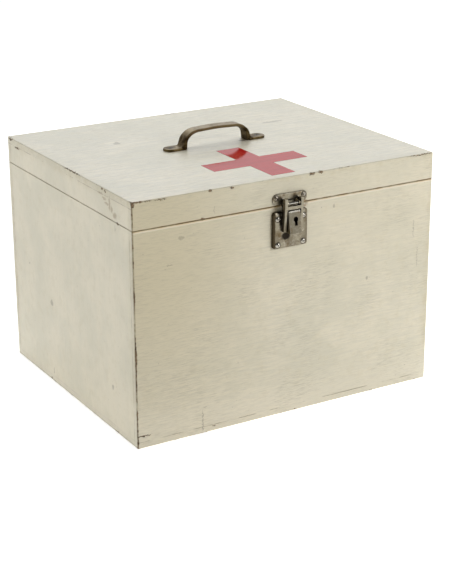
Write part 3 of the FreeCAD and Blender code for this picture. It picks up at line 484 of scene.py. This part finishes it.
    inner = g.math("MULTIPLY_ADD", g.noise(4.0, 3.0, 0.6), 2.0, skin)
    inside = g.fade(inner, 5.2, 6.0)
    colour = g.mix(inside, colour, bare_plywood(g, grain))

    roughness = g.spread(g.noise(14.0, 3.0, 0.6), 0.26, 0.44)
    roughness = g.math("MULTIPLY_ADD", g.most(chips, inside), 0.4, roughness)
    relief = g.math("MULTIPLY_ADD", brushed, 1.6, g.product(fibres, -0.6))
    relief = g.math("SUBTRACT", relief, g.product(g.most(chips, lines), 3.0))
    g.bump(relief, 0.11)
    return g.finish(colour, roughness)


def red_paint(name):
    """Thin glossy enamel, brushed on by hand."""
    g = Graph(name)
    brushed = g.noise((40.0, 3.0, 3.0), 3.0, 0.6)
    colour = g.mix(g.fade(brushed, 0.35, 0.7), RED, RED_DEEP)
    worn = g.fade(g.noise(2.2, 3.0, 0.7), 0.72, 0.80)
    colour = g.mix(g.product(worn, 0.6), colour, CREAM_DEEP)
    g.bump(g.noise((26.0, 2.4, 2.4), 3.0, 0.6), 0.015)
    g.shader.inputs["Specular IOR Level"].default_value = 0.43
    return g.finish(colour, g.spread(g.noise(9.0, 2.0, 0.5), 0.05, 0.11))


def aged_metal(name, metal, brown, bright, roughness, tarnish, rubbed=None, covers=()):
    """Metal with patchy tarnish and bright rubbed edges, a given mark made bright, and covers of dirt and painted
    shade: where each lies and its colour.
    """
    g = Graph(name)
    clouds = g.noise(10.0, 4.0, 0.65)
    mottled = g.noise(3.4, 4.0, 0.7)
    specks = g.noise(1.3, 3.0, 0.7)
    dull = g.fade(clouds, 0.62 - tarnish * 0.3, 0.80 - tarnish * 0.3)
    colour = g.mix(dull, metal, brown)
    colour = g.mix(g.product(g.fade(mottled, 0.50, 0.66), 0.30), colour, bright)
    colour = g.mix(g.product(g.fade(specks, 0.50, 0.72), 0.45), colour, brown)
    edges = g.product(g.worn_edges(0.7, 0.90, 0.995), g.spread(specks, 0.2, 1.0))
    # The rubbed mark brightens wear on the hasp's front, a painted sheen on the handle's top and painted highlights on
    # the lock case's top and plate.
    worn = g.most(edges, rubbed(g)) if rubbed else edges
    colour = g.mix(worn, colour, bright)
    rough = g.math("MULTIPLY_ADD", dull, 0.14, g.spread(specks, roughness - 0.06, roughness + 0.10))
    for cover, dirt in covers:
        share = cover(g)
        colour = g.mix(share, colour, dirt)
        rough = g.math("MULTIPLY_ADD", share, 0.3, rough)
    g.bump(g.math("MULTIPLY_ADD", clouds, 2.0, specks), 0.03)
    return g.finish(colour, rough, 1.0)


def grip_sheen_and_wear(g):
    """The top of the handle, lighter than its legs: worn by hands, and a painted sheen where the top catches the light.
    """
    return g.product(g.fade(g.z, HANDLE_HIGH.z - 12, HANDLE_HIGH.z - 3), g.spread(g.noise((9.0, 2.0, 2.0)), 0.35, 1.1))


def case_inside(g):
    """Where painted shade goes: 1 for what shows through the keyhole, all that lies behind the lock case's sloping
    front.
    """
    across = g.math("ABSOLUTE", g.math("SUBTRACT", g.x, LATCH_X))
    wide = g.fade(across, CASE_HALF - 0.5, CASE_HALF - 0.7)
    high = g.product(g.fade(g.z, CASE_HIGH.z - 0.3, CASE_HIGH.z - 0.6), g.fade(g.z, CASE_LOW.z, CASE_LOW.z + 0.3))
    front = g.math("MULTIPLY_ADD", g.math("SUBTRACT", g.z, CASE_LOW.z), CASE_SLOPE, CASE_LOW.y)
    deep = g.fade(g.math("SUBTRACT", g.y, front), 0.08, 0.30)
    return g.product(wide, high, deep)


def keyhole_rim(g):
    """A black ring round the edge of the keyhole and down its slot: painted shade that makes the dark opening look
    wider.
    """
    across = g.math("SUBTRACT", g.x, KEYHOLE_X)
    up = g.math("SUBTRACT", g.z, KEYHOLE_Z)
    out = g.math("SQRT", g.math("MULTIPLY_ADD", across, across, g.math("MULTIPLY", up, up)))
    slot = g.product(g.fade(g.math("ABSOLUTE", across), 1.9, 1.5), g.fade(up, -6.5, -6.1), g.fade(up, 0.0, -1.0))
    return g.most(g.fade(out, 3.0, 2.6), slot)


def latch_shade_and_grease(g):
    """Black on the latch: painted shadows and shade in its corners with some grease, and painted shade round its screw
    heads, where its plates meet the wood, round the keyhole and inside the case.
    """
    ragged = g.ragged(2.6, 2.4)
    dark_blots = g.blots(ragged, SHADOWS_AND_GREASE, 1.2, 0.65)
    x, y, z = g.split(ragged)
    # Painted shade where the plates meet the wood.
    foot = g.product(g.fade(g.math("SUBTRACT", FRONT, y), 1.4, 0.4), g.fade(g.z, 229.0, 227.5))
    foot = g.most(foot, g.fade(g.math("SUBTRACT", FRONT, g.y), 0.9, 0.3))
    # Painted shade in the crevice round each round screw head.
    rings = [(middle, (ball, ball, ball)) for middle, ball in SCREW_BALLS]
    rings = g.blots(g.ragged(1.5, 1.6), rings, 1.22, 1.02)
    darkened = g.most(g.product(dark_blots, 0.95), g.product(foot, 0.7), g.product(rings, 0.85), keyhole_rim(g))
    return g.most(darkened, case_inside(g))


def plate_film_and_shade(g):
    """Brown on the lock plate: painted shade with dirt on its left wall and rounded left edge, dirt over its lower
    half, and at the right of the hasp's plate.
    """
    x, y, z = g.split(g.ragged(5.0, 4.0))
    on_plate = g.fade(z, PLATE_HIGH.z + 4, PLATE_HIGH.z)
    wall = g.product(g.fade(x, PLATE_LOW.x + 2.6, PLATE_LOW.x + 1.6), on_plate)
    low = g.product(g.fade(z, 206, 190), g.fade(g.noise(7.0, 4.0, 0.65), 0.38, 0.62))
    right = g.product(g.fade(x, PLATE_HIGH.x - 6, PLATE_HIGH.x - 2), 0.45)
    return g.most(g.product(wall, 0.95), g.product(low, 0.45), right)


def plate_highlights(g):
    """Painted highlights: lighter metal along the top of the lock's case and at the upper left of its plate, where they
    catch the light.
    """
    across = g.math("ABSOLUTE", g.math("SUBTRACT", g.x, LATCH_X))
    top = g.product(g.fade(across, CASE_HALF + 0.2, CASE_HALF - 0.4), g.fade(g.z, CASE_HIGH.z - 1.9, CASE_HIGH.z - 1.2))
    top = g.product(top, g.fade(g.z, CASE_HIGH.z + 0.5, CASE_HIGH.z + 0.1), 0.75)
    upper_left = [((PLATE_LOW.x + 6.5, FRONT - 4.0, PLATE_HIGH.z - 1.8), (3.6, 4.0, 0.9))]
    return g.most(top, g.product(g.blots(g.place, upper_left), 0.5))


def arm_film(g):
    """Brown dirt on the outer sides of the hasp's arms, thicker towards their ends."""
    side = g.fade(g.math("ABSOLUTE", g.math("SUBTRACT", g.x, LATCH_X)), ARM_OUTER - 0.35, ARM_OUTER - 0.1)
    streaks = g.fade(g.noise((2.0, 1.2, 12.0), 3.0, 0.6), 0.30, 0.60)
    return g.product(side, g.spread(g.most(streaks, g.fade(g.z, 212, 204)), 0.0, 0.35))


def hasp_shade(g):
    """Painted shade, black, on the inner sides of the hasp's arms and where they come near the plate."""
    across = g.math("ABSOLUTE", g.math("SUBTRACT", g.x, LATCH_X))
    inner = g.product(g.fade(across, CASE_HALF + 1.6, CASE_HALF + 1.1), g.fade(g.z, 224, 222))
    back = g.fade(g.math("SUBTRACT", FRONT, g.y), 6.6, 5.2)
    return g.most(g.product(inner, 0.8), g.product(back, 0.85))


def hasp_front(g):
    """The front of the hasp, which fingers have rubbed bright."""
    front = g.fade(g.math("SUBTRACT", FRONT, g.y), 8.0, 9.4)
    rubbed = g.spread(g.fade(g.noise((3.0, 2.0, 5.0), 3.0, 0.6), 0.40, 0.65), 0.0, 0.55)
    return g.product(front, rubbed, g.spread(g.fade(g.z, 202, 214), 0.2, 0.8))


def pin_shade(g):
    """The upper half of the pin, painted dark as the shade above it in the hasp's window."""
    return g.product(g.fade(g.z, PIN_Z - 0.1, PIN_Z + 0.5), 0.9)


def leg_shade_and_grime(g):
    """Dark brown on the handle's legs, painted shade with some grime, and painted shade round the screws in its feet.
    """
    across = g.math("ABSOLUTE", g.math("SUBTRACT", g.x, (HANDLE_LOW.x + HANDLE_HIGH.x) / 2))
    leg = g.product(g.fade(across, 28.0, 34.0), g.fade(across, 45.5, 43.0), g.fade(g.z, HANDLE_HIGH.z - 3, HANDLE_HIGH.z - 9))
    around = [((x, HANDLE_MIDDLE, HANDLE_SCREW_TOP), (5.2, 5.2, 2.0)) for x in HANDLE_SCREW_X]
    rings = g.blots(g.ragged(2.0, 2.0), around, 1.15, 0.8)
    patchy = g.spread(g.fade(g.noise(5.0, 3.0, 0.6), 0.35, 0.65), 0.35, 0.85)
    return g.product(g.most(leg, g.product(rings, 0.6)), patchy)


def ball_slots(g):
    """Painted shade, black, in the driver's slots of the latch's round-headed screws."""
    balls = [(middle, (ball, ball, ball)) for middle, ball in SCREW_BALLS]
    return g.blots(g.place, balls, 0.975, 0.93)


# Painted shade, black, in the slots of the handle's screws below their heads' top.
def handle_slots(g):
    return g.fade(g.z, HANDLE_SCREW_TOP - 0.08, HANDLE_SCREW_TOP - 0.25)


# Painted shade, black, in the slots of the hinges' screws below their heads' face.
def hinge_slots(g):
    return g.fade(g.y, HINGE_SCREW_TOP - 0.08, HINGE_SCREW_TOP - 0.25)


def floor_material():
    g = Graph("studio_floor")
    tone = g.mix(g.noise(400.0, 2.0, 0.5), (0.90, 0.90, 0.89, 1), (0.93, 0.93, 0.92, 1))
    g.shader.inputs["Emission Color"].default_value = (1.0, 1.0, 0.99, 1)
    far = g.math("SQRT", g.math("MULTIPLY_ADD", g.x, g.x, g.math("MULTIPLY", g.y, g.y)))
    beside = g.math("SUBTRACT", g.math("ABSOLUTE", g.x), HALF_WIDTH)
    beside = g.most(beside, g.math("SUBTRACT", g.math("ABSOLUTE", g.y), HALF_DEPTH))
    # The floor glows as painted light: more close round the box, where it lights the box's lower sides and washes out
    # its contact shadow, and more again far off.
    glow = g.math("MULTIPLY_ADD", g.fade(beside, 160.0, 20.0), 0.207, g.spread(g.fade(far, 500.0, 1600.0), 0.50, 0.67))
    g.put(g.shader.inputs["Emission Strength"], glow)
    return g.finish(tone, 0.8)


def make_materials():
    along = (10.0, 0.8, 0.8)
    upright = (1.6, 1.6, 16.0)
    return {
        "board": painted_board("painted_board_along", along, 0.40, 0.5),
        "side": painted_board("painted_board_side", upright, 0.10, 0.11),
        "nail": painted_board("painted_nail_heads", along, 0.40, 0.5, 1.1),
        "red": red_paint("red_enamel"),
        "brass": aged_metal(
            "aged_brass_strap",
            BRASS,
            BRASS_TARNISH_AND_SHADE,
            BRASS_RUBBED_AND_SHEEN,
            0.38,
            0.6,
            rubbed=grip_sheen_and_wear,
            covers=[(leg_shade_and_grime, BRASS_TARNISH_AND_SHADE)],
        ),
        # The handle's screw heads are near black, painted shade of their sunk recesses, with painted shade in their
        # slots.
        "brass_screw": aged_metal(
            "brass_screw_heads", BRASS_DARK, GRIME_AND_SHADE, BRASS, 0.40, 0.5, covers=[(handle_slots, GRIME_AND_SHADE)]
        ),
        "nickel": aged_metal(
            "worn_nickel_plate",
            NICKEL,
            NICKEL_BROWN,
            NICKEL_BRIGHT,
            0.28,
            0.4,
            rubbed=plate_highlights,
            covers=[(plate_film_and_shade, FILM_AND_SHADE), (latch_shade_and_grease, GRIME_AND_SHADE)],
        ),
        "hasp": aged_metal(
            "rubbed_nickel_hasp",
            NICKEL,
            NICKEL_BROWN,
            NICKEL_LIGHT,
            0.30,
            0.3,
            rubbed=hasp_front,
            covers=[(arm_film, FILM_AND_SHADE), (hasp_shade, GRIME_AND_SHADE)],
        ),
        # The pin is brighter nickel than the plate, a painted highlight, with painted shade on its upper half.
        "pin": aged_metal(
            "bright_hasp_pin", NICKEL_BRIGHT, NICKEL_LIGHT, NICKEL_BRIGHT, 0.18, 0.2, covers=[(pin_shade, GRIME_AND_SHADE)]
        ),
        # The latch's screw heads are lighter metal than the plate, a painted highlight, with painted shade in their
        # slots.
        "screw": aged_metal(
            "latch_screw_heads", SCREW_METAL, NICKEL_BROWN, NICKEL_BRIGHT, 0.22, 0.5, covers=[(ball_slots, GRIME_AND_SHADE)]
        ),
        "hinge": aged_metal("hinge_plate", STEEL, STEEL_BROWN, NICKEL_LIGHT, 0.36, 0.5),
        "hinge_screw": aged_metal(
            "hinge_screw_heads", STEEL, STEEL_BROWN, NICKEL_LIGHT, 0.32, 0.4, covers=[(hinge_slots, GRIME_AND_SHADE)]
        ),
        # Painted shade, black, on the steel parts inside the lock case.
        "steel": aged_metal(
            "plain_steel_parts", NICKEL_LIGHT, STEEL_BROWN, NICKEL_BRIGHT, 0.38, 0.3, covers=[(case_inside, GRIME_AND_SHADE)]
        ),
    }


def dress_frame(materials):
    """Give every CAD node its finished material, by the node's name or by its slot in the record."""
    by_slot = {
        "painted_board": "board",
        "painted_nail": "nail",
        "red_paint": "red",
        "aged_brass": "brass",
        "worn_nickel": "nickel",
        "latch_screw": "screw",
        "hinge_steel": "hinge",
        "plain_steel": "steel",
    }
    by_node = {
        "handle_screws": "brass_screw",
        "hasp": "hasp",
        "hasp_pin": "pin",
        "hinge_base_screws": "hinge_screw",
        "hinge_lid_screws": "hinge_screw",
    }
    by_node.update({node: "side" for node in ("left_panel", "right_panel", "lid_left_rail", "lid_right_rail")})
    for part in frame["record"]["subparts"]:
        node = part["node"]
        key = by_node.get(node, by_slot[part["material_slot"]])
        for material_slot in frame["nodes"][node].material_slots:
            material_slot.material = materials[key]


def add_floor():
    reach = FLOOR_REACH
    corners = [(-reach, -reach, 0), (reach, -reach, 0), (reach, reach, 0), (-reach, reach, 0)]
    mesh = bpy.data.meshes.new("studio_floor")
    mesh.from_pydata(corners, [], [(0, 1, 2, 3)])
    mesh.materials.append(floor_material())
    floor = bpy.data.objects.new("studio_floor", mesh)
    bpy.context.scene.collection.objects.link(floor)


def add_camera():
    data = bpy.data.cameras.new("camera")
    data.sensor_width = CAMERA_SENSOR
    data.lens = CAMERA_LENS
    camera = bpy.data.objects.new("camera", data)
    turn = Matrix.Rotation(radians(CAMERA_AZIMUTH), 4, "Z")
    tilt = Matrix.Rotation(radians(90 - CAMERA_ELEVATION), 4, "X")
    roll = Matrix.Rotation(radians(CAMERA_ROLL), 4, "Z")
    camera.matrix_world = Matrix.Translation(CAMERA_PLACE) @ turn @ tilt @ roll
    bpy.context.scene.collection.objects.link(camera)
    bpy.context.scene.camera = camera


def add_lamp(name, place, size, power, colour):
    """A square soft lamp that faces the middle of the box."""
    data = bpy.data.lights.new(name, "AREA")
    data.size = size
    data.energy = power
    data.color = colour
    lamp = bpy.data.objects.new(name, data)
    aim = Vector((0, 0, HEIGHT / MM / 2)) - Vector(place)
    lamp.matrix_world = Matrix.Translation(place) @ aim.to_track_quat("-Z", "Y").to_matrix().to_4x4()
    bpy.context.scene.collection.objects.link(lamp)


def add_surroundings():
    """A bright backdrop low behind the box, and a dimmer room in front of it and above."""
    world = bpy.data.worlds.new("studio")
    world.use_nodes = True
    bpy.context.scene.world = world
    nodes = world.node_tree.nodes
    links = world.node_tree.links
    direction = nodes.new("ShaderNodeTexCoord").outputs["Generated"]
    behind = nodes.new("ShaderNodeVectorMath")
    behind.operation = "DOT_PRODUCT"
    behind.inputs[1].default_value = (-sin(radians(CAMERA_AZIMUTH)), cos(radians(CAMERA_AZIMUTH)), 0)
    links.new(direction, behind.inputs[0])
    height = nodes.new("ShaderNodeSeparateXYZ")
    links.new(direction, height.inputs[0])
    shares = []
    for value, zero, one in ((behind.outputs["Value"], -0.05, 0.30), (height.outputs[2], 0.85, 0.60)):
        fade = nodes.new("ShaderNodeMapRange")
        fade.interpolation_type = "SMOOTHSTEP"
        fade.inputs["From Min"].default_value = zero
        fade.inputs["From Max"].default_value = one
        links.new(value, fade.inputs["Value"])
        shares.append(fade.outputs["Result"])
    both = nodes.new("ShaderNodeMath")
    both.operation = "MULTIPLY"
    links.new(shares[0], both.inputs[0])
    links.new(shares[1], both.inputs[1])
    light = nodes.new("ShaderNodeMix")
    light.data_type = "RGBA"
    links.new(both.outputs[0], light.inputs[0])
    light.inputs[6].default_value = ROOM_LIGHT
    light.inputs[7].default_value = BACKDROP_LIGHT
    links.new(light.outputs[2], nodes["Background"].inputs["Color"])


dress_frame(make_materials())
add_floor()
add_camera()
for lamp, settings in LAMPS.items():
    add_lamp(lamp, *settings)
add_surroundings()
bpy.context.scene.view_settings.view_transform = "Standard"
